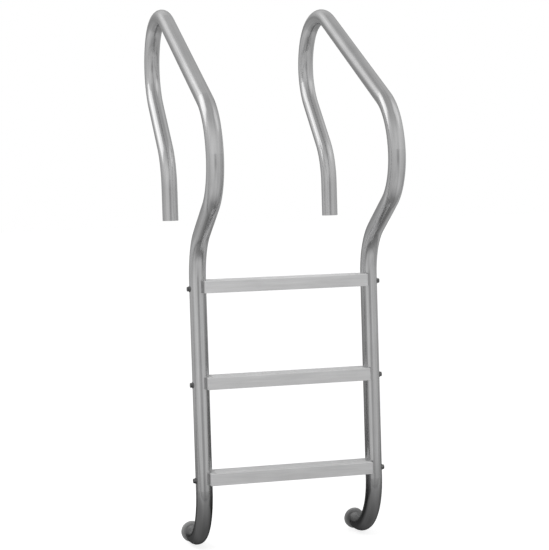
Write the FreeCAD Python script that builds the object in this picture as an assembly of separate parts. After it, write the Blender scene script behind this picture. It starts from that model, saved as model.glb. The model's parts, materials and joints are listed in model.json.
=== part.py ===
"""Three-tread pool ladder: two bent stainless rails, moulded treads, bolts and rubber feet.

Frame, in millimetres: the origin is midway between the cut ends of the two deck legs.
+X runs along the treads to the right-hand rail, +Y points back over the deck, away from the
water, and +Z points up. The treads hang below and in front of the origin, over the water.
"""
import FreeCAD
import Part
import math
import os

Vector = FreeCAD.Vector
INCH = 25.4
ORIGIN = Vector(0, 0, 0)
X_AXIS = Vector(1, 0, 0)
Z_AXIS = Vector(0, 0, 1)
OVERCUT = 1                    # how far a cutting shape runs past the face it opens
SNAP = 0.01                    # how closely an edge must lie on a plane to be picked from it

# ---- rails ---------------------------------------------------------------------------------
TUBE_RADIUS = 1.90 * INCH / 2
TUBE_WALL = 0.065 * INCH
RAIL_SPACING = 20 * INCH
TUBE_END_CHAMFER = 0.5

# One rail, followed from the cut end of its deck leg to the tip of its foot. A turn is
# counted in degrees towards the deck (positive) or the water (negative) as seen while
# going along the tube; each radius is that of the tube's centre line.
DECK_LEG_LENGTH = 102
BACK_BEND = (45, 177)
RISER_LENGTH = 183.5
CROWN_BENDS = [(-25, 187), (-89, 143), (-48, 230)]
HANDRAIL_LENGTH = 586
SHOULDER_BENDS = [(-58, 184), (-65, 144)]
RETURN_LENGTH = 153.5
HIP_BEND = (60, 160)
STEP_LEG_LENGTH = 595.5
FOOT_BEND = (-94.5, 164)
FOOT_TIP_LENGTH = 25           # straight end that takes the bumper's plug

# ---- treads --------------------------------------------------------------------------------
TREAD_COUNT = 3
TREAD_PITCH = 274
TREAD_RISE = 5                 # top tread above the upper end of the straight step leg
TREAD_LENGTH = 482
TREAD_DEPTH = 78
TREAD_HEIGHT = 36
TREAD_WALL = 3
NOSE_RADIUS = 2.8
CORNER_RADIUS = 3
HEM_RADIUS = 0.8
END_WALL = 8                   # from the rail's inner side to the hollow under the tread
SADDLE_GAP = 0.15
CAVITY_CORNER_RADIUS = 2
POCKET_CORNER_RADIUS = 1.5
POCKET_RAIL_OFFSET = 1         # wall between a horn's pocket and the side of the rail
GRIP_COUNT = 8
GRIP_PITCH = 8
GRIP_HEIGHT = 1
GRIP_WIDTH = 2.6
GRIP_EDGE_RADIUS = 0.7
GRIP_ROOT = 0.5                # how deep a grip rib is sunk into the tread's top
GRIP_END_GAP = 18              # from the tread's end to where its grip ribs stop
WEB_OFFSET = 12.5
WEB_THICKNESS = 2.4
WEB_SETBACK = 3                # webs and cross ribs stop short of the tread's lower edge
CROSS_RIB_COUNT = 7

# ---- 5/16 inch tread fasteners -------------------------------------------------------------
BOLT_DROP = 24                 # bolt line below the tread's top
BOLT_RADIUS = 5 / 16 * INCH / 2
BOLT_HOLE_RADIUS = 11 / 32 * INCH / 2
BOLT_LENGTH = 2.75 * INCH
BOLT_POINT_CHAMFER = 1
HEX_ACROSS_FLATS = 0.5 * INCH
HEX_BEVEL_ANGLE = 30
BOLT_HEAD_HEIGHT = 5.4
NUT_HEIGHT = 6.8
WASHER_RADIUS = 8.8
WASHER_THICKNESS = 1.6
WASHER_CHAMFER = 0.4

# ---- rubber bumpers on the feet ------------------------------------------------------------
BUMPER_RADIUS = 31
BUMPER_RIM_WIDTH = 10.5
BUMPER_EDGE_RADIUS = 3
BUMPER_DOME_HEIGHT = 7
BUMPER_DOME_BULGE = 0.7        # share of the dome's height reached a third of the way in
BUMPER_FACE_RADIUS = 12
PLUG_LENGTH = 24
PLUG_CORE_RADIUS = 20.5
PLUG_CLEARANCE = 0.1
PLUG_BARB_COUNT = 3
PLUG_BARB_PITCH = 7
PLUG_BARB_WIDTH = 4
PLUG_BARB_ROOT = 0.5           # how far a barb's thin end is sunk below the plug's surface


def heading_vector(heading):
    """Direction in the rail's own YZ plane: 0 degrees is up, 90 degrees is over the deck."""
    angle = math.radians(heading)
    return Vector(0, math.sin(angle), math.cos(angle))


class BentRun:
    """Centre line of a bent tube, built one straight or one bend at a time."""

    def __init__(self, start, heading):
        self.point = start
        self.heading = heading
        self.edges = []

    def straight(self, length):
        finish = self.point + heading_vector(self.heading) * length
        self.edges.append(Part.LineSegment(self.point, finish).toShape())
        self.point = finish
        return finish

    def bend(self, turn, radius):
        side = math.copysign(1, turn)
        centre = self.point + heading_vector(self.heading + 90 * side) * radius
        middle = centre - heading_vector(self.heading + turn / 2 + 90 * side) * radius
        finish = centre - heading_vector(self.heading + turn + 90 * side) * radius
        self.edges.append(Part.Arc(self.point, middle, finish).toShape())
        self.point = finish
        self.heading += turn
        return finish


def trace_rail():
    """Centre line of a rail in the plane X = 0, with the places other pieces are set from."""
    run = BentRun(ORIGIN, 0)
    run.straight(DECK_LEG_LENGTH)
    run.bend(*BACK_BEND)
    run.straight(RISER_LENGTH)
    for turn, radius in CROWN_BENDS:
        run.bend(turn, radius)
    run.straight(HANDRAIL_LENGTH)
    for turn, radius in SHOULDER_BENDS:
        run.bend(turn, radius)
    run.straight(RETURN_LENGTH)
    step_leg_top = run.bend(*HIP_BEND)
    run.straight(STEP_LEG_LENGTH)
    run.bend(*FOOT_BEND)
    foot_tip = run.straight(FOOT_TIP_LENGTH)
    return run.edges, step_leg_top, foot_tip, heading_vector(run.heading)


RAIL_EDGES, STEP_LEG_TOP, FOOT_TIP, FOOT_DIRECTION = trace_rail()
TREAD_TOPS = [STEP_LEG_TOP.z + TREAD_RISE - TREAD_PITCH * step for step in range(TREAD_COUNT)]
SIDES = {"left": -1, "right": 1}


def sweep_disc(radius):
    """Solid rod of the given radius along the rail's centre line."""
    path = Part.Wire(RAIL_EDGES)
    circle = Part.Circle(ORIGIN, Z_AXIS, radius)
    profile = Part.Wire([circle.toShape()])
    return path.makePipeShell([profile], True, False)


def end_chamfer_ring():
    """Ring that takes the sharp outer edge off the cut end of a deck leg."""
    size = TUBE_END_CHAMFER
    blank = Part.makeCylinder(TUBE_RADIUS + size, size, ORIGIN, Z_AXIS)
    cone = Part.makeCone(TUBE_RADIUS - size, TUBE_RADIUS, size)
    return blank.cut(cone)


def make_rail(side):
    """Hollow bent tube with a cross hole for each tread bolt."""
    tube = sweep_disc(TUBE_RADIUS).cut(sweep_disc(TUBE_RADIUS - TUBE_WALL))
    tube = tube.cut(end_chamfer_ring())
    for top in TREAD_TOPS:
        start = Vector(-2 * TUBE_RADIUS, STEP_LEG_TOP.y, top - BOLT_DROP)
        tube = tube.cut(Part.makeCylinder(BOLT_HOLE_RADIUS, 4 * TUBE_RADIUS, start, X_AXIS))
    tube.translate(Vector(side * RAIL_SPACING / 2, 0, 0))
    return tube


def box(x_range, y_range, z_range):
    """Box given by its low and high limits on each axis."""
    low = Vector(x_range[0], y_range[0], z_range[0])
    size = Vector(x_range[1], y_range[1], z_range[1]) - low
    return Part.makeBox(size.x, size.y, size.z, low)


def upright_edges(shape):
    """Edges that run up and down, such as the four corners of a box."""
    return [edge for edge in shape.Edges if edge.BoundBox.ZLength > SNAP]


def level_edges(shape, height):
    """Edges that lie in the level plane at the given height."""
    picked = []
    for edge in shape.Edges:
        limits = edge.BoundBox
        if abs(limits.ZMin - height) < SNAP and abs(limits.ZMax - height) < SNAP:
            picked.append(edge)
    return picked


def tread_blank():
    """Outer block of a tread with its rounded nose, corners and lower hem."""
    half_length = TREAD_LENGTH / 2
    half_depth = TREAD_DEPTH / 2
    roof = -GRIP_HEIGHT
    block = box((-half_length, half_length), (-half_depth, half_depth), (-TREAD_HEIGHT, roof))
    block = block.makeFillet(CORNER_RADIUS, upright_edges(block))
    block = block.makeFillet(NOSE_RADIUS, level_edges(block, roof))
    return block.makeFillet(HEM_RADIUS, level_edges(block, -TREAD_HEIGHT))


def tread_cavity():
    """Hollow under a tread, less the webs and cross ribs that stiffen it."""
    inner_x = RAIL_SPACING / 2 - TUBE_RADIUS - END_WALL
    inner_y = TREAD_DEPTH / 2 - TREAD_WALL
    roof = -GRIP_HEIGHT - TREAD_WALL
    cavity = box((-inner_x, inner_x), (-inner_y, inner_y), (-TREAD_HEIGHT - OVERCUT, roof))
    cavity = cavity.makeFillet(CAVITY_CORNER_RADIUS, upright_edges(cavity))
    rib_span = (-TREAD_HEIGHT + WEB_SETBACK, roof)
    half = WEB_THICKNESS / 2
    for side in SIDES.values():
        web_y = side * WEB_OFFSET
        cavity = cavity.cut(box((-inner_x, inner_x), (web_y - half, web_y + half), rib_span))
    bay = 2 * inner_x / (CROSS_RIB_COUNT + 1)
    for index in range(1, CROSS_RIB_COUNT + 1):
        rib_x = -inner_x + bay * index
        cavity = cavity.cut(box((rib_x - half, rib_x + half), (-inner_y, inner_y), rib_span))
    return cavity


def horn_pockets():
    """Pockets that lighten the four horns beside the rails, open underneath."""
    low_x = RAIL_SPACING / 2 - TUBE_RADIUS - END_WALL + TREAD_WALL
    high_x = TREAD_LENGTH / 2 - TREAD_WALL
    low_y = TUBE_RADIUS + POCKET_RAIL_OFFSET
    high_y = TREAD_DEPTH / 2 - TREAD_WALL
    z_range = (-TREAD_HEIGHT - OVERCUT, -GRIP_HEIGHT - TREAD_WALL)
    pockets = []
    for x_side in SIDES.values():
        for y_side in SIDES.values():
            x_range = sorted((x_side * low_x, x_side * high_x))
            y_range = sorted((y_side * low_y, y_side * high_y))
            pocket = box(x_range, y_range, z_range)
            pockets.append(pocket.makeFillet(POCKET_CORNER_RADIUS, upright_edges(pocket)))
    return pockets


def grip_ribs():
    """Anti-slip ribs that run along the top of a tread."""
    half_length = TREAD_LENGTH / 2 - GRIP_END_GAP
    half_width = GRIP_WIDTH / 2
    z_range = (-GRIP_HEIGHT - GRIP_ROOT, 0)
    ribs = []
    for index in range(GRIP_COUNT):
        centre = (index - (GRIP_COUNT - 1) / 2) * GRIP_PITCH
        y_range = (centre - half_width, centre + half_width)
        rib = box((-half_length, half_length), y_range, z_range)
        crest = [edge for edge in level_edges(rib, 0) if edge.BoundBox.XLength > SNAP]
        ribs.append(rib.makeFillet(GRIP_EDGE_RADIUS, crest))
    return ribs


def make_tread(top):
    """Moulded tread whose ends saddle the rails and take one bolt each."""
    tread = tread_blank().cut(tread_cavity()).cut(horn_pockets()).fuse(grip_ribs())
    saddle_height = TREAD_HEIGHT + 2 * OVERCUT
    bolt_reach = TUBE_RADIUS + END_WALL + OVERCUT
    for side in SIDES.values():
        base = Vector(side * RAIL_SPACING / 2, 0, -TREAD_HEIGHT - OVERCUT)
        saddle = Part.makeCylinder(TUBE_RADIUS + SADDLE_GAP, saddle_height, base, Z_AXIS)
        mouth = Vector(side * RAIL_SPACING / 2, 0, -BOLT_DROP)
        bolt_hole = Part.makeCylinder(BOLT_HOLE_RADIUS, bolt_reach, mouth, Vector(-side, 0, 0))
        tread = tread.cut([saddle, bolt_hole])
    tread = tread.removeSplitter()
    tread.translate(Vector(0, STEP_LEG_TOP.y, top))
    return tread


def hex_prism(height):
    """Hexagonal prism on the plane X = 0, growing towards +X, with its far corners bevelled."""
    corner = HEX_ACROSS_FLATS / 2 / math.cos(math.radians(30))
    points = []
    for index in range(7):
        angle = math.radians(60 * index)
        points.append(Vector(0, corner * math.cos(angle), corner * math.sin(angle)))
    prism = Part.Face(Part.makePolygon(points)).extrude(Vector(height, 0, 0))
    slope = math.tan(math.radians(HEX_BEVEL_ANGLE))
    apex = height + HEX_ACROSS_FLATS / 2 * slope
    bevel = Part.makeCone(apex / slope, 0, apex, ORIGIN, X_AXIS)
    return prism.common(bevel)


def bolt_seats():
    """Every bolted joint as the rail's side and the height of the bolt's axis."""
    seats = []
    for top in TREAD_TOPS:
        for side in SIDES.values():
            seats.append((side, top - BOLT_DROP))
    return seats


def place_outward(shape, side, distance, height):
    """Copy of a piece made along +X, set at a distance from the middle plane, facing out."""
    placed = shape.copy()
    if side < 0:
        placed.rotate(ORIGIN, Z_AXIS, 180)
    placed.translate(Vector(side * distance, STEP_LEG_TOP.y, height))
    return placed


def make_bolt():
    """Hex bolt along X: its head starts at X = 0 and its shank points to -X."""
    shank = Part.makeCylinder(BOLT_RADIUS, BOLT_LENGTH, Vector(-BOLT_LENGTH, 0, 0), X_AXIS)
    point = [edge for edge in shank.Edges if edge.BoundBox.XMax < -BOLT_LENGTH + SNAP]
    shank = shank.makeChamfer(BOLT_POINT_CHAMFER, point)
    return hex_prism(BOLT_HEAD_HEIGHT).fuse(shank).removeSplitter()


def make_saddle_washer():
    """Washer hollowed on its inner side to sit on the rail, with its flat face at X = 0."""
    depth = TUBE_RADIUS - math.sqrt(TUBE_RADIUS ** 2 - WASHER_RADIUS ** 2) + WASHER_THICKNESS
    disc = Part.makeCylinder(WASHER_RADIUS, depth, Vector(-depth, 0, 0), X_AXIS)
    rim = [edge for edge in disc.Edges if edge.BoundBox.XMin > -SNAP]
    disc = disc.makeChamfer(WASHER_CHAMFER, rim)
    hole_start = Vector(-depth - OVERCUT, 0, 0)
    hole = Part.makeCylinder(BOLT_HOLE_RADIUS, depth + 2 * OVERCUT, hole_start, X_AXIS)
    rail_base = Vector(-WASHER_THICKNESS - TUBE_RADIUS, 0, -2 * WASHER_RADIUS)
    rail = Part.makeCylinder(TUBE_RADIUS, 4 * WASHER_RADIUS, rail_base, Z_AXIS)
    return disc.cut([hole, rail])


def make_flat_washer():
    """Plain washer between X = 0 and its thickness."""
    disc = Part.makeCylinder(WASHER_RADIUS, WASHER_THICKNESS, ORIGIN, X_AXIS)
    hole_length = WASHER_THICKNESS + 2 * OVERCUT
    return disc.cut(Part.makeCylinder(BOLT_HOLE_RADIUS, hole_length, Vector(-OVERCUT, 0, 0), X_AXIS))


def make_nut():
    """Hex nut bored to the bolt's own radius, with its flat seat at X = 0 and facing +X."""
    bore_length = NUT_HEIGHT + 2 * OVERCUT
    bore = Part.makeCylinder(BOLT_RADIUS, bore_length, Vector(-OVERCUT, 0, 0), X_AXIS)
    nut = hex_prism(NUT_HEIGHT).cut(bore)
    nut.rotate(ORIGIN, Z_AXIS, 180)
    return nut


def fastener_groups():
    """The four kinds of fastener, each a group with one separate solid for every bolted joint."""
    head_seat = RAIL_SPACING / 2 + TUBE_RADIUS + WASHER_THICKNESS
    washer_inside = RAIL_SPACING / 2 - TUBE_RADIUS - END_WALL - WASHER_THICKNESS
    kinds = {
        "tread_bolts": (make_bolt(), head_seat),
        "saddle_washers": (make_saddle_washer(), head_seat),
        "nut_washers": (make_flat_washer(), washer_inside),
        "tread_nuts": (make_nut(), washer_inside),
    }
    groups = {}
    for name, (piece, distance) in kinds.items():
        copies = [place_outward(piece, side, distance, height) for side, height in bolt_seats()]
        groups[name] = Part.makeCompound(copies)
    return groups


def bumper_outline():
    """Half section of a bumper: distance along its axis in X, radius in Y."""
    rim = BUMPER_RIM_WIDTH
    edge = BUMPER_EDGE_RADIUS
    face = rim + BUMPER_DOME_HEIGHT
    bevel = edge * (1 - math.sqrt(0.5))
    back_edge = Vector(0, BUMPER_RADIUS - edge, 0)
    back_middle = Vector(bevel, BUMPER_RADIUS - bevel, 0)
    side_start = Vector(edge, BUMPER_RADIUS, 0)
    dome_start = Vector(rim, BUMPER_RADIUS, 0)
    third_in = BUMPER_RADIUS - (BUMPER_RADIUS - BUMPER_FACE_RADIUS) / 3
    dome_middle = Vector(rim + BUMPER_DOME_BULGE * BUMPER_DOME_HEIGHT, third_in, 0)
    dome_end = Vector(face, BUMPER_FACE_RADIUS, 0)
    face_centre = Vector(face, 0, 0)
    return [
        Part.LineSegment(ORIGIN, back_edge),
        Part.Arc(back_edge, back_middle, side_start),
        Part.LineSegment(side_start, dome_start),
        Part.Arc(dome_start, dome_middle, dome_end),
        Part.LineSegment(dome_end, face_centre),
        Part.LineSegment(face_centre, ORIGIN),
    ]


def make_bumper(side):
    """Rubber bumper: a domed head on a barbed plug that is pushed into the end of the foot."""
    outline = Part.Wire([segment.toShape() for segment in bumper_outline()])
    bumper = Part.Face(outline).revolve(ORIGIN, X_AXIS, 360)
    plug = Part.makeCylinder(PLUG_CORE_RADIUS, PLUG_LENGTH, Vector(-PLUG_LENGTH, 0, 0), X_AXIS)
    bumper = bumper.fuse(plug)
    barb_root = PLUG_CORE_RADIUS - PLUG_BARB_ROOT
    barb_crest = TUBE_RADIUS - TUBE_WALL - PLUG_CLEARANCE
    for index in range(PLUG_BARB_COUNT):
        base = Vector(-PLUG_BARB_PITCH * (index + 1), 0, 0)
        barb = Part.makeCone(barb_root, barb_crest, PLUG_BARB_WIDTH, base, X_AXIS)
        bumper = bumper.fuse(barb)
    bumper = bumper.removeSplitter()
    turn = FreeCAD.Rotation(X_AXIS, FOOT_DIRECTION)
    tip = Vector(side * RAIL_SPACING / 2, FOOT_TIP.y, FOOT_TIP.z)
    bumper.Placement = FreeCAD.Placement(tip, turn)
    return bumper


def build_parts():
    """Every node of the ladder by name."""
    parts = {}
    for name, side in SIDES.items():
        parts[name + "_rail"] = make_rail(side)
        parts[name + "_bumper"] = make_bumper(side)
    for name, top in zip(("top", "middle", "bottom"), TREAD_TOPS):
        parts[name + "_tread"] = make_tread(top)
    parts.update(fastener_groups())
    return parts


os.makedirs("parts", exist_ok=True)
for node, shape in build_parts().items():
    limits = shape.BoundBox
    extents = (limits.XMin, limits.XMax, limits.YMin, limits.YMax, limits.ZMin, limits.ZMax)
    shape.exportStep("parts/" + node + ".step")
    print(node, shape.isValid(), len(shape.Solids), "solids", round(shape.Volume / 1000, 2), "cm3")
    print("    limits", [round(value, 1) for value in extents])
print("step leg top", STEP_LEG_TOP, "foot tip", FOOT_TIP, "foot direction", FOOT_DIRECTION)
print("tread tops", TREAD_TOPS)
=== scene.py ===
import json
import math

import bpy
from mathutils import Matrix, Vector


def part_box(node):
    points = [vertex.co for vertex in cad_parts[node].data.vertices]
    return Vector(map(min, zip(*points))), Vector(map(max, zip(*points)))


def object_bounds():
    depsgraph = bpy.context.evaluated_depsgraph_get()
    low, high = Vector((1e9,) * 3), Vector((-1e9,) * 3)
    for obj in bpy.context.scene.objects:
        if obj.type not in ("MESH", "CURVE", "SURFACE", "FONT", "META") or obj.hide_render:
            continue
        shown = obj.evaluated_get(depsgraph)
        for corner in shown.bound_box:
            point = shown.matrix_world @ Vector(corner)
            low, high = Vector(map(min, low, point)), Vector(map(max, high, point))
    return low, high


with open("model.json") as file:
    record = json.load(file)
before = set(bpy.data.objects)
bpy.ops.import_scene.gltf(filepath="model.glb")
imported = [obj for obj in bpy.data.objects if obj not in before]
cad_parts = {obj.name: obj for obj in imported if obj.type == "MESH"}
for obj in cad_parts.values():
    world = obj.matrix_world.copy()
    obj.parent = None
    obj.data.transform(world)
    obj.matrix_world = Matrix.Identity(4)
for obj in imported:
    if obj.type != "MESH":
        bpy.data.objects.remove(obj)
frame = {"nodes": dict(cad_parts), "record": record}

cad_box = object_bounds()

# ---- measurements read from the frame (metres) -----------------------------------------------
top_low, top_high = (Vector(corner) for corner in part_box("top_tread"))
rail_low, rail_high = (Vector(corner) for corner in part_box("right_rail"))
LADDER_MIDDLE = (Vector(cad_box[0]) + Vector(cad_box[1])) / 2
RAIL_X = (rail_low.x + rail_high.x) / 2
TUBE_RADIUS = (rail_high.x - rail_low.x) / 2
LEG_Y = (top_low.y + top_high.y) / 2
WALL_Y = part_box("right_bumper")[1][1]
FLOOR_Z = cad_box[0][2] - 0.001

# ---- camera settings (metres, degrees and millimetres of lens) -------------------------------
VIEW_TARGET = Vector((0, LEG_Y, top_high.z))
VIEW_AZIMUTH = -14.28
VIEW_ELEVATION = 3.14
VIEW_ROLL = 1.72
VIEW_DISTANCE = 4.5948
VIEW_SIDE = -0.0276
VIEW_RISE = 0.0041
FOCAL_LENGTH = 104.65
SENSOR_WIDTH = 36

# ---- stage settings (metres) -----------------------------------------------------------------
FLOOR_HALF_SIZE = 40

# Shade sheets, which only reflections see. They paint shade into the steel's reflections.
SHADE_HALF_WIDTH = 8
SHADE_REACH = 2
SHADE_Z = FLOOR_Z + 0.0005

# The floor sheet is darkest here. Its dark is stretched along X by one over the squeeze.
DARK_SPOT_Y = WALL_Y - 0.024
DARK_SPOT_SQUEEZE = 0.45

# Upright sheets of painted shade in reflections: one in front of the feet, the rear behind them, the middle
# between the rails.
FRONT_SHADE_Y = LEG_Y - 0.325
FRONT_SHADE_HEIGHT = 0.2
REAR_Y = WALL_Y + 0.056
REAR_HEIGHT = 0.36
MIDDLE_FRONT_Y = LEG_Y - 0.165
MIDDLE_BACK_Y = LEG_Y + 0.775
MIDDLE_HEIGHT = 0.85
MIDDLE_FRONT_FADE = 0.087


class Nodes:
    """Short way to write a node tree: add a node, set its values, join its inputs."""

    def __init__(self, tree):
        self.tree = tree
        tree.nodes.clear()

    def add(self, kind, values=None, links=None, **settings):
        node = self.tree.nodes.new(kind)
        for name, value in settings.items():
            setattr(node, name, value)
        for socket, value in (values or {}).items():
            node.inputs[socket].default_value = value
        for socket, source in (links or {}).items():
            self.tree.links.new(source, node.inputs[socket])
        return node

    def math(self, operation, *terms):
        """Each term is a number or another node's output."""
        node = self.add("ShaderNodeMath", operation=operation)
        for socket, term in zip(node.inputs, terms):
            if isinstance(term, (int, float)):
                socket.default_value = term
            else:
                self.tree.links.new(term, socket)
        return node.outputs[0]

    def total(self, first, *others):
        for other in others:
            first = self.math("ADD", first, other)
        return first

    def ramp(self, source, stops):
        """Grey by position, from (position, grey) pairs between 0 and 1."""
        node = self.add("ShaderNodeValToRGB", links={0: source})
        elements = node.color_ramp.elements
        while len(elements) < len(stops):
            elements.new(0.5)
        for element, (position, grey) in zip(elements, stops):
            element.position = position
            element.color = (grey, grey, grey, 1)
        return node.outputs[0]

    def place(self):
        """Object coordinates."""
        return self.add("ShaderNodeTexCoord").outputs["Object"]

    def split(self, vector):
        """X, Y and Z of a vector, by number or by name."""
        return self.add("ShaderNodeSeparateXYZ", links={0: vector}).outputs

    def join(self, x, y, z):
        return self.add("ShaderNodeCombineXYZ", links={0: x, 1: y, 2: z}).outputs[0]

    def noise(self, vector, scale, detail, roughness):
        node = self.add("ShaderNodeTexNoise", {"Scale": scale, "Detail": detail, "Roughness": roughness},
                        {"Vector": vector})
        return node.outputs["Fac"]

    def spread(self, noise, low, high):
        """Maps a noise value's usual range, 0.3 to 0.7, onto low to high."""
        node = self.add("ShaderNodeMapRange",
                        {"From Min": 0.3, "From Max": 0.7, "To Min": low, "To Max": high},
                        {"Value": noise})
        return node.outputs[0]

    def grey(self, tone, blue=1.0):
        """Neutral colour of varying tone, with its blue scaled."""
        return self.add("ShaderNodeCombineColor",
                        links={0: tone, 1: tone, 2: self.math("MULTIPLY", tone, blue)}).outputs[0]

    def lobe(self, direction, azimuth, elevation, outer, inner):
        """1 within inner degrees of a heading, fading smoothly to 0 at outer degrees."""
        aim = self.add("ShaderNodeVectorMath", {1: heading(azimuth, elevation)}, {0: direction},
                       operation="DOT_PRODUCT")
        fade = self.add("ShaderNodeMapRange",
                        {"From Min": math.cos(math.radians(outer)),
                         "From Max": math.cos(math.radians(inner))},
                        {"Value": aim.outputs["Value"]}, interpolation_type="SMOOTHSTEP")
        return fade.outputs[0]

    def finish(self, shader):
        output = self.add("ShaderNodeOutputMaterial")
        self.tree.links.new(shader.outputs[0], output.inputs["Surface"])


def heading(azimuth, elevation):
    """Unit vector for angles in degrees. Azimuth 0 points along -Y and 90 along +X."""
    around, rise = math.radians(azimuth), math.radians(elevation)
    return Vector((math.sin(around) * math.cos(rise), -math.cos(around) * math.cos(rise), math.sin(rise)))


def new_material(name):
    material = bpy.data.materials.new(name)
    material.use_nodes = True
    return material, Nodes(material.node_tree)


# ---- materials -------------------------------------------------------------------------------


def surface(nodes, colour, rough, height, bump_strength, bump_distance, **values):
    """Principled surface with a bump. Other values go to the shader's own sockets."""
    bump = nodes.add("ShaderNodeBump", {"Strength": bump_strength, "Distance": bump_distance},
                     {"Height": height})
    shader = nodes.add("ShaderNodeBsdfPrincipled", values,
                       {"Base Color": colour, "Roughness": rough, "Normal": bump.outputs[0]})
    nodes.finish(shader)


def rail_steel():
    """Polished stainless tube with a fine grain and soft streaks that run along it."""
    material, nodes = new_material("rail_steel")
    place = nodes.place()
    x, y, z = nodes.split(place)
    offset = nodes.math("SUBTRACT", nodes.math("ABSOLUTE", x), RAIL_X)
    # A radius just over the tube's keeps the arcsine in range on the tube's sides.
    turn = nodes.math("ARCSINE", nodes.math("DIVIDE", offset, TUBE_RADIUS * 1.002))
    around = nodes.math("MULTIPLY", turn, TUBE_RADIUS)

    def along(stretch):
        """Place round the tube, with Y and Z squeezed so that noise draws out along it."""
        return nodes.join(around, nodes.math("MULTIPLY", y, stretch), nodes.math("MULTIPLY", z, stretch))

    grain = nodes.noise(along(0.004), scale=2600, detail=3, roughness=0.65)
    streaks = nodes.noise(along(0.012), scale=260, detail=3, roughness=0.6)
    bands = nodes.noise(along(0.012), scale=90, detail=2, roughness=0.5)
    cloud = nodes.noise(place, scale=14, detail=3, roughness=0.55)

    tone = nodes.total(nodes.spread(streaks, -0.05, 0.05), nodes.spread(bands, -0.06, 0.06),
                       nodes.spread(cloud, -0.02, 0.02), nodes.spread(grain, 0.55, 0.61))
    rough = nodes.total(nodes.spread(streaks, 0.17, 0.21), nodes.spread(cloud, -0.01, 0.03),
                        nodes.spread(grain, -0.01, 0.01))
    height = nodes.total(nodes.math("MULTIPLY", streaks, 0.2), nodes.math("MULTIPLY", bands, 0.8))
    surface(nodes, nodes.grey(tone, blue=1.005), rough, height, bump_strength=0.07, bump_distance=0.0003,
            Metallic=1.0)
    return material


def tread_plastic():
    """Light grey moulded plastic with a fine pebbled skin and faint flow marks along the tread."""
    material, nodes = new_material("tread_plastic")
    place = nodes.place()
    x, y, z = nodes.split(place)
    flow = nodes.noise(nodes.join(nodes.math("MULTIPLY", x, 0.06), y, z), scale=120, detail=3, roughness=0.55)
    cloud = nodes.noise(place, scale=18, detail=4, roughness=0.6)
    pebble = nodes.noise(place, scale=1400, detail=2, roughness=0.6)
    speckle = nodes.noise(place, scale=420, detail=2, roughness=0.5)

    tone = nodes.total(nodes.spread(flow, 0.67, 0.77), nodes.spread(cloud, -0.015, 0.015),
                       nodes.spread(speckle, -0.012, 0.012))
    rough = nodes.total(nodes.spread(cloud, 0.46, 0.58), nodes.spread(pebble, -0.04, 0.04))
    height = nodes.total(nodes.math("MULTIPLY", pebble, 0.7), nodes.math("MULTIPLY", speckle, 0.5))
    surface(nodes, nodes.grey(tone, blue=1.004), rough, height, bump_strength=0.35, bump_distance=0.0003,
            IOR=1.5)
    return material


def fastener_steel():
    """Dull dark steel with small worn patches and a fine grit."""
    material, nodes = new_material("fastener_steel")
    place = nodes.place()
    patch = nodes.noise(place, scale=260, detail=3, roughness=0.6)
    grit = nodes.noise(place, scale=2400, detail=2, roughness=0.6)
    tone = nodes.total(nodes.spread(patch, 0.13, 0.24), nodes.spread(grit, -0.02, 0.02))
    rough = nodes.total(nodes.spread(patch, 0.42, 0.30), nodes.spread(grit, -0.03, 0.03))
    surface(nodes, nodes.grey(tone), rough, grit, bump_strength=0.3, bump_distance=0.0002, Metallic=1.0)
    return material


def bumper_rubber():
    """Matt grey rubber with a fine grain and a dusty bloom."""
    material, nodes = new_material("bumper_rubber")
    place = nodes.place()
    bloom = nodes.noise(place, scale=40, detail=4, roughness=0.6)
    grit = nodes.noise(place, scale=1100, detail=3, roughness=0.6)
    tone = nodes.total(nodes.spread(bloom, 0.35, 0.43), nodes.spread(grit, -0.02, 0.02))
    rough = nodes.total(nodes.spread(bloom, 0.66, 0.8), nodes.spread(grit, -0.03, 0.03))
    surface(nodes, nodes.grey(tone), rough, grit, bump_strength=0.4, bump_distance=0.0004, IOR=1.5)
    return material


def finish_nodes():
    """Gives every CAD node the finish that its record names."""
    finishes = {
        "rail_steel": rail_steel(),
        "tread_plastic": tread_plastic(),
        "fastener_steel": fastener_steel(),
        "bumper_rubber": bumper_rubber(),
    }
    for part in frame["record"]["subparts"]:
        node = frame["nodes"][part["node"]]
        for material_slot in node.material_slots:
            material_slot.material = finishes[part["material_slot"]]


# ---- light -----------------------------------------------------------------------------------

# Brightness of the dome by height: 0 is straight down, 0.5 the horizon and 1 straight up.
REFLECTED_DOME = [
    (0.0, 0.52), (0.05, 0.6), (0.1, 0.67), (0.15, 0.68), (0.21, 0.64), (0.29, 0.6), (0.46, 0.6),
    (0.54, 0.63), (0.63, 0.7), (0.71, 0.75), (0.79, 0.77), (0.85, 0.68), (0.91, 0.58), (1.0, 0.5)]
LIGHTING_DOME = [(0.0, 0.16), (0.45, 0.42), (0.55, 0.5), (1.0, 0.4)]

# Darker and lighter patches of the reflected dome: azimuth, elevation, where each ends and is
# full in degrees from its middle, and the share of brightness that it takes away or adds.
DOME_PATCHES = [
    (180, -14, 50, 14, -0.5),
    (-6, -3, 20, 4, -0.32),
    (-46, -6, 36, 6, 0.16),
    (32, -4, 32, 6, 0.14),
    (120, 0, 46, 8, -0.12),
    (-142, 8, 32, 8, -0.12),
    (-30, 2, 40, 10, 0.08),
    (98, -30, 34, 8, -0.15),
    (140, -62, 30, 6, -0.14),
    (-140, 36, 27, 7, 0.26),
    (180, 62, 26, 6, -0.1),
    (148, 26, 28, 8, -0.26),
    (-152, -20, 30, 8, 0.3),
]

# Soft boxes: azimuth, elevation, distance, size, radiance and whether reflections show them.
SOFTBOXES = {
    "softbox_left": (-115, 46, 3.2, 2.0, 0.68, True),
    "softbox_right": (72, 52, 3.2, 1.6, 0.3, True),
    "softbox_front": (-30, 30, 3.0, 1.2, 7.0, False),
    "softbox_top": (-20, 70, 1.5, 0.8, 1.5, False),
}


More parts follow.
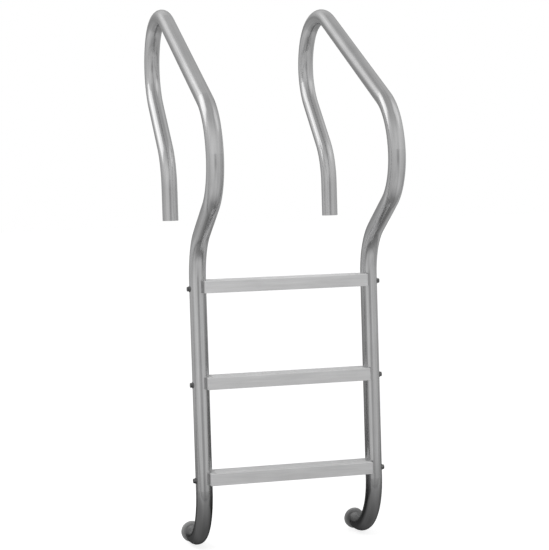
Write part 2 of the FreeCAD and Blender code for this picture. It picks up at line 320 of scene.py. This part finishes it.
def studio_world():
    """White backdrop to the camera, a plain soft dome to lit surfaces, a patched one to reflections."""
    world = bpy.data.worlds.new("studio")
    bpy.context.scene.world = world
    world.use_nodes = True
    nodes = Nodes(world.node_tree)
    direction = nodes.add("ShaderNodeTexCoord").outputs["Generated"]
    level = nodes.math("MULTIPLY_ADD", nodes.split(direction)["Z"], 0.5, 0.5)
    reflected = nodes.ramp(level, REFLECTED_DOME)
    for azimuth, elevation, outer, inner, change in DOME_PATCHES:
        patch = nodes.lobe(direction, azimuth, elevation, outer, inner)
        share = nodes.math("MULTIPLY_ADD", patch, change, 1.0)
        reflected = nodes.add("ShaderNodeVectorMath", links={0: reflected, 1: share},
                              operation="MULTIPLY").outputs[0]
    path = nodes.add("ShaderNodeLightPath").outputs
    lit = nodes.add("ShaderNodeMix", links={
        "Factor": path["Is Diffuse Ray"], "A": reflected, "B": nodes.ramp(level, LIGHTING_DOME)},
        data_type="RGBA").outputs["Result"]
    shown = nodes.add("ShaderNodeMix", {"B": (1, 1, 1, 1)}, {"Factor": path["Is Camera Ray"], "A": lit},
                      data_type="RGBA").outputs["Result"]
    sky = nodes.add("ShaderNodeBackground", {"Strength": 1.0}, {"Color": shown})
    output = nodes.add("ShaderNodeOutputWorld")
    world.node_tree.links.new(sky.outputs[0], output.inputs["Surface"])


def softbox(name, azimuth, elevation, distance, size, radiance, reflected):
    """Square area light aimed at the ladder's middle and hidden from the camera."""
    data = bpy.data.lights.new(name, "AREA")
    data.shape = "SQUARE"
    data.size = size
    data.energy = radiance * math.pi * size * size
    light = bpy.data.objects.new(name, data)
    outward = heading(azimuth, elevation)
    light.location = LADDER_MIDDLE + outward * distance
    light.rotation_euler = outward.to_track_quat("Z", "Y").to_euler()
    light.visible_camera = False
    light.visible_glossy = reflected
    bpy.context.scene.collection.objects.link(light)


# ---- floor and shades ------------------------------------------------------------------------


def flat_piece(name, corners, material):
    """Four-cornered stage piece."""
    mesh = bpy.data.meshes.new(name)
    mesh.from_pydata(corners, [], [(0, 1, 2, 3)])
    mesh.materials.append(material)
    piece = bpy.data.objects.new(name, mesh)
    bpy.context.scene.collection.objects.link(piece)
    return piece


def level_corners(wide, near, far, z):
    """Corners of a level rectangle, wide on either side of X = 0, from Y = near to Y = far."""
    return [(-wide, near, z), (wide, near, z), (wide, far, z), (-wide, far, z)]


def upright_corners(y, height):
    """Corners of a sheet across the ladder, standing on the floor."""
    low, high, wide = SHADE_Z, SHADE_Z + height, SHADE_HALF_WIDTH
    return [(-wide, y, low), (wide, y, low), (wide, y, high), (-wide, y, high)]


def floor():
    """Plain pale floor just under the ladder's feet. Reflections and bounced light don't see it."""
    material, nodes = new_material("pale_floor")
    nodes.finish(nodes.add("ShaderNodeBsdfPrincipled", {
        "Base Color": (0.5, 0.5, 0.5, 1), "Roughness": 0.8,
        "Emission Color": (1, 1, 1, 1), "Emission Strength": 0.8}))
    half = FLOOR_HALF_SIZE
    piece = flat_piece("floor", level_corners(half, -half, half, FLOOR_Z), material)
    piece.visible_glossy = False
    piece.visible_diffuse = False


def shade(name, corners, fade):
    """Sheet seen only in reflections, where it paints shade. fade(nodes) gives the share of light that passes
    through it.
    """
    material, nodes = new_material(name)
    nodes.finish(nodes.add("ShaderNodeBsdfTransparent", links={"Color": fade(nodes)}))
    sheet = flat_piece(name, corners, material)
    sheet.visible_camera = False
    sheet.visible_diffuse = False
    sheet.visible_transmission = False
    sheet.visible_shadow = False


def height_share(nodes, height):
    """Height above the floor as a share of the sheet's own height."""
    z = nodes.split(nodes.place())["Z"]
    return nodes.math("DIVIDE", nodes.math("SUBTRACT", z, FLOOR_Z), height)


def floor_fade(nodes):
    """Darkest under the feet, clearing over a metre or two. Long rays, from high up, see less of it."""
    x, y, z = nodes.split(nodes.place())
    across = nodes.math("MULTIPLY", x, DARK_SPOT_SQUEEZE)
    back = nodes.math("SUBTRACT", y, DARK_SPOT_Y)
    reach = nodes.math("SQRT", nodes.math(
        "ADD", nodes.math("MULTIPLY", across, across), nodes.math("MULTIPLY", back, back)))
    under = nodes.ramp(reach, [
        (0.0, 0.02), (0.06, 0.05), (0.13, 0.16), (0.22, 0.29), (0.32, 0.37), (0.47, 0.53), (0.62, 0.8),
        (0.9, 1.0)])
    # Halved, so that the ramp's range of 0 to 1 covers rays of up to two metres.
    half_length = nodes.math("MULTIPLY", nodes.add("ShaderNodeLightPath").outputs["Ray Length"], 0.5)
    far = nodes.ramp(half_length, [(0.15, 0.0), (0.45, 0.5), (0.8, 0.85)])
    return nodes.math("MAXIMUM", under, far)


def front_sheet_fade(nodes):
    """Painted shade in reflections: dark along the floor in front of the feet, clearing upwards."""
    return nodes.ramp(height_share(nodes, FRONT_SHADE_HEIGHT), [(0.0, 0.52), (0.5, 0.7), (1.0, 1.0)])


def rear_fade(nodes):
    """Dark along the floor behind the feet, clearing upwards."""
    return nodes.ramp(height_share(nodes, REAR_HEIGHT), [(0.0, 0.32), (0.45, 0.54), (1.0, 1.0)])


def middle_fade(nodes):
    """Dark towards the floor, clearing upwards and at its front edge."""
    upward = nodes.ramp(height_share(nodes, MIDDLE_HEIGHT), [
        (0.0, 0.42), (0.5, 0.5), (0.8, 0.7), (1.0, 1.0)])
    y = nodes.split(nodes.place())["Y"]
    behind_edge = nodes.math("DIVIDE", nodes.math("SUBTRACT", y, MIDDLE_FRONT_Y), MIDDLE_FRONT_FADE)
    return nodes.math("MAXIMUM", upward, nodes.ramp(behind_edge, [(0.0, 1.0), (1.0, 0.0)]))


def shades():
    """Sheets of painted shade under, in front of, behind and between the legs, seen only in reflections."""
    near, far = DARK_SPOT_Y - SHADE_REACH, DARK_SPOT_Y + SHADE_REACH
    shade("floor_shade", level_corners(SHADE_HALF_WIDTH, near, far, SHADE_Z), floor_fade)
    shade("front_shade", upright_corners(FRONT_SHADE_Y, FRONT_SHADE_HEIGHT), front_sheet_fade)
    shade("rear_shade", upright_corners(REAR_Y, REAR_HEIGHT), rear_fade)
    low, high = SHADE_Z, SHADE_Z + MIDDLE_HEIGHT
    shade("middle_shade", [(0, MIDDLE_FRONT_Y, low), (0, MIDDLE_BACK_Y, low),
                           (0, MIDDLE_BACK_Y, high), (0, MIDDLE_FRONT_Y, high)], middle_fade)


# ---- view ------------------------------------------------------------------------------------


def place_camera():
    """Camera at the viewing angle: a little left of the ladder's front and a little above it."""
    back = heading(VIEW_AZIMUTH, VIEW_ELEVATION)
    roll = math.radians(VIEW_ROLL)
    level_right = Vector((0, 0, 1)).cross(back).normalized()
    level_up = back.cross(level_right)
    right = level_right * math.cos(roll) - level_up * math.sin(roll)
    up = level_right * math.sin(roll) + level_up * math.cos(roll)
    data = bpy.data.cameras.new("camera")
    data.lens = FOCAL_LENGTH
    data.sensor_width = SENSOR_WIDTH
    camera = bpy.data.objects.new("camera", data)
    place = VIEW_TARGET + back * VIEW_DISTANCE + right * VIEW_SIDE + up * VIEW_RISE
    turn = Matrix((right, up, back)).transposed()
    camera.matrix_world = Matrix.Translation(place) @ turn.to_4x4()
    bpy.context.scene.collection.objects.link(camera)
    bpy.context.scene.camera = camera


finish_nodes()
studio_world()
for softbox_name, settings in SOFTBOXES.items():
    softbox(softbox_name, *settings)
floor()
shades()
place_camera()
bpy.context.scene.view_settings.view_transform = "Standard"
